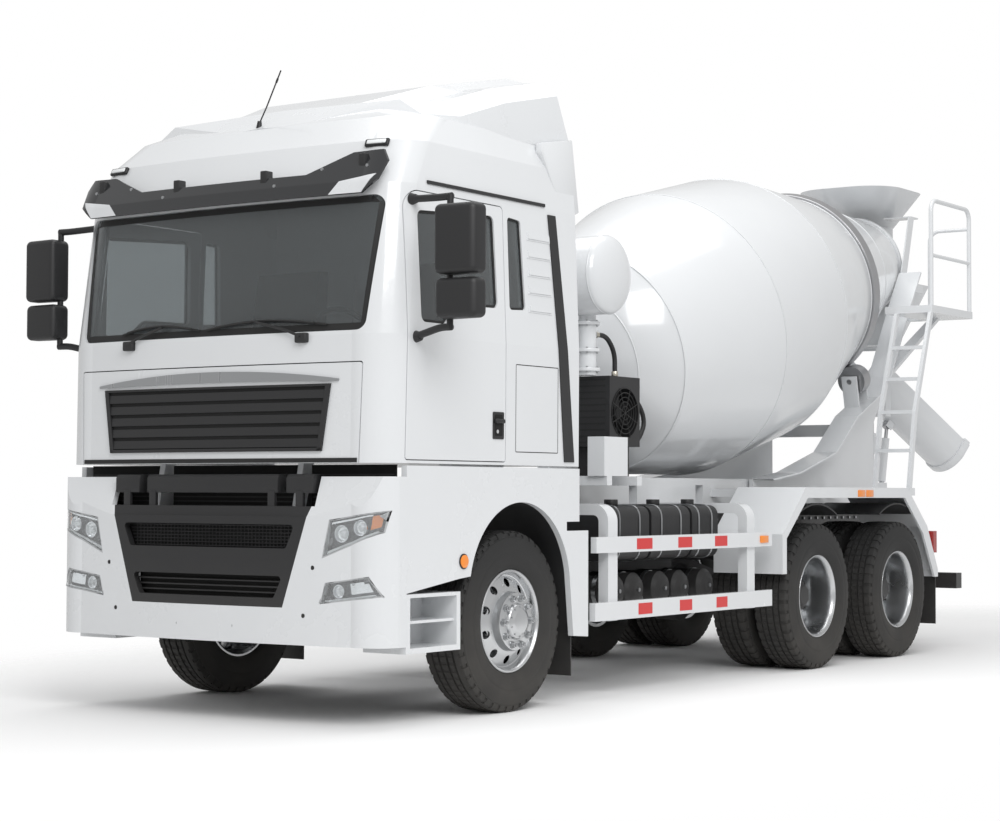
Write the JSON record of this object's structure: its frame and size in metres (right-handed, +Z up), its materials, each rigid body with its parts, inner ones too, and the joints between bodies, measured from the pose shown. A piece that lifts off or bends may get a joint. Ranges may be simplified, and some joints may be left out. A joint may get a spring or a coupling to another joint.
{
  "type": "concrete mixer truck",
  "caption": "White cab-over concrete mixer truck with tandem rear axles, revolving drum, charging hopper, rear platform and swinging discharge chute.",
  "frame": {"origin": "on the ground under the middle of the overall length, on the centre line", "axes": "+X to the vehicle's left, +Y to the rear, +Z up; the front faces -Y"},
  "size_m": [3.3946, 9.7514, 3.94],
  "materials": {
    "white_paint": "gloss",
    "white_plastic": "gloss",
    "black_plastic": "satin",
    "chassis_black": "satin",
    "cast_grey": "matte",
    "tyre": "matte",
    "alloy": "polished",
    "steel": "satin",
    "glass": "clear",
    "lamp": "clear",
    "rear_lamp": "gloss",
    "fabric": "matte"
  },
  "bodies": {
    "steer_left_knuckle": {"knuckle_left": "cast_grey"},
    "front_wheel_left": {"tyre_front_left": "tyre", "rim_front_left": "alloy"},
    "axle2_wheel_left": {"tyres_axle2_left": "tyre", "rims_axle2_left": "alloy"},
    "axle3_wheel_left": {"tyres_axle3_left": "tyre", "rims_axle3_left": "alloy"},
    "door_left_body": {"door_left": "white_paint", "door_glass_left": "glass", "mirror_left": "black_plastic"},
    "roller_left_body": {"drum_roller_left": "steel"},
    "steer_right_knuckle": {"knuckle_right": "cast_grey"},
    "front_wheel_right": {"tyre_front_right": "tyre", "rim_front_right": "alloy"},
    "axle2_wheel_right": {"tyres_axle2_right": "tyre", "rims_axle2_right": "alloy"},
    "axle3_wheel_right": {"tyres_axle3_right": "tyre", "rims_axle3_right": "alloy"},
    "door_right_body": {"door_right": "white_paint", "door_glass_right": "glass", "mirror_right": "black_plastic"},
    "roller_right_body": {"drum_roller_right": "steel"},
    "drum": {"drum_shell": "white_paint", "track_ring": "chassis_black"},
    "fan": {"cooler_fan": "black_plastic"},
    "cab": {"cab_shell": "white_paint", "cab_glass": "glass", "roof_deflector": "white_plastic", "sun_visor": "white_plastic", "cab_interior": "fabric"},
    "flap": {"front_flap": "white_plastic"},
    "chute_post": {"chute_slew": "white_paint"},
    "chute": {"discharge_chute": "white_paint"},
    "jack_barrel_body": {"jack_barrel": "white_paint"},
    "jack_rod_body": {"jack_rod": "steel"},
    "chassis": {"axles": "cast_grey", "bumper": "white_plastic", "bumper_centre": "black_plastic", "chassis_frame": "chassis_black", "collector": "white_paint", "driveline": "cast_grey", "drum_drive": "cast_grey", "front_fenders": "white_plastic", "front_lamps": "lamp", "front_pedestal": "white_paint", "hopper": "white_paint", "oil_cooler": "black_plastic", "platform": "white_paint", "rear_fenders": "white_paint", "rear_lamps": "rear_lamp", "rear_pedestal": "white_paint", "side_guards": "white_paint", "side_tanks": "black_plastic", "subframe": "white_paint", "water_tank": "white_paint", "wheel_liners": "black_plastic"}
  },
  "joints": [
    {"name": "steer_left", "type": "hinge", "parent": "chassis", "child": "steer_left_knuckle", "pos_m": [0.94, -3.53066, 0.525], "axis": [0, 0, 1], "range_deg": [-35, 35]},
    {"name": "front_wheel_left_spin", "type": "hinge", "parent": "steer_left_knuckle", "child": "front_wheel_left", "pos_m": [1.03, -3.53066, 0.525], "axis": [1, 0, 0], "continuous": true},
    {"name": "axle2_left_spin", "type": "hinge", "parent": "chassis", "child": "axle2_wheel_left", "pos_m": [1.105, 0.31934, 0.525], "axis": [1, 0, 0], "continuous": true},
    {"name": "axle3_left_spin", "type": "hinge", "parent": "chassis", "child": "axle3_wheel_left", "pos_m": [1.105, 1.71934, 0.525], "axis": [1, 0, 0], "continuous": true},
    {"name": "door_left_hinge", "type": "hinge", "parent": "cab", "child": "door_left_body", "pos_m": [1.262, -4.62266, 2.1], "axis": [0, 0, -1], "range_deg": [0, 70]},
    {"name": "roller_left_spin", "type": "hinge", "parent": "chassis", "child": "roller_left_body", "pos_m": [0.52134, 2.45352, 2.20849], "axis": [0, 0.9724, 0.2334], "continuous": true},
    {"name": "steer_right", "type": "hinge", "parent": "chassis", "child": "steer_right_knuckle", "pos_m": [-0.94, -3.53066, 0.525], "axis": [0, 0, 1], "range_deg": [-35, 35]},
    {"name": "front_wheel_right_spin", "type": "hinge", "parent": "steer_right_knuckle", "child": "front_wheel_right", "pos_m": [-1.03, -3.53066, 0.525], "axis": [1, 0, 0], "continuous": true},
    {"name": "axle2_right_spin", "type": "hinge", "parent": "chassis", "child": "axle2_wheel_right", "pos_m": [-1.105, 0.31934, 0.525], "axis": [1, 0, 0], "continuous": true},
    {"name": "axle3_right_spin", "type": "hinge", "parent": "chassis", "child": "axle3_wheel_right", "pos_m": [-1.105, 1.71934, 0.525], "axis": [1, 0, 0], "continuous": true},
    {"name": "door_right_hinge", "type": "hinge", "parent": "cab", "child": "door_right_body", "pos_m": [-1.262, -4.62266, 2.1], "axis": [0, 0, 1], "range_deg": [0, 70]},
    {"name": "roller_right_spin", "type": "hinge", "parent": "chassis", "child": "roller_right_body", "pos_m": [-0.52134, 2.45352, 2.20849], "axis": [0, 0.9724, 0.2334], "continuous": true},
    {"name": "drum_spin", "type": "hinge", "parent": "chassis", "child": "drum", "pos_m": [0, 0.46934, 2.527], "axis": [0, 0.9724, 0.2334], "continuous": true},
    {"name": "fan_spin", "type": "hinge", "parent": "chassis", "child": "fan", "pos_m": [0.77, -1.75066, 1.791], "axis": [1, 0, 0], "continuous": true},
    {"name": "cab_tilt", "type": "hinge", "parent": "chassis", "child": "cab", "pos_m": [0, -4.68066, 1.15], "axis": [1, 0, 0], "range_deg": [0, 60]},
    {"name": "front_flap_lift", "type": "hinge", "parent": "cab", "child": "flap", "pos_m": [0, -4.83866, 1.972], "axis": [-1, 0, 0], "range_deg": [0, 60]},
    {"name": "chute_slew_turn", "type": "hinge", "parent": "chassis", "child": "chute_post", "pos_m": [0, 3.86934, 1.7], "axis": [0, 0, 1], "range_deg": [-65, 110]},
    {"name": "chute_tilt", "type": "hinge", "parent": "chute_post", "child": "chute", "pos_m": [0, 3.86934, 2.3], "axis": [0.9063, -0.4226, 0], "range_deg": [-12, 30]},
    {"name": "jack_foot", "type": "hinge", "parent": "chute_post", "child": "jack_barrel_body", "pos_m": [0.05917, 3.99623, 1.33], "axis": [0.9063, -0.4226, 0], "range_deg": [-17.32, 7.53]},
    {"name": "jack_stroke", "type": "slide", "parent": "jack_barrel_body", "child": "jack_rod_body", "axis": [0.0523, 0.1122, 0.9923], "range_m": [-0.0703, 0.1727]}
  ],
  "couplings": [
    {"joint": "steer_right", "follows": "steer_left", "ratio": 1},
    {"joint": "jack_foot", "follows": "chute_tilt", "ratio": -0.54402},
    {"joint": "jack_stroke", "follows": "chute_tilt", "m_per_rad": 0.32592}
  ]
}
